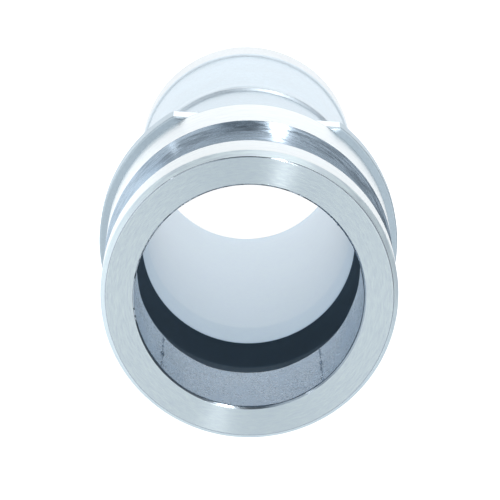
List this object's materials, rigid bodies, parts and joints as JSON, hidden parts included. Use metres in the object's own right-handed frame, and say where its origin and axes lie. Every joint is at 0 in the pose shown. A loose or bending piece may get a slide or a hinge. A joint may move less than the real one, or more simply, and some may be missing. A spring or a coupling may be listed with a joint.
{
  "type": "camlock hose shank adapter",
  "caption": "Male cam-and-groove hose adapter: turned mouth, cam groove between collars, wrench flange with flats, and a ridged shank for a hose.",
  "frame": {"origin": "centre of the shank's tail end, on the surface it stands on", "axes": "+Z along the axis from the tail to the mouth; the wrench flats face +Y and -Y"},
  "size_m": [0.0664, 0.063, 0.138],
  "materials": {
    "cast_steel": "turned collars, groove and mouth face; fine blasted casting elsewhere"
  },
  "bodies": {
    "root": {"hose_shank_adapter": "cast_steel"}
  },
  "joints": []
}
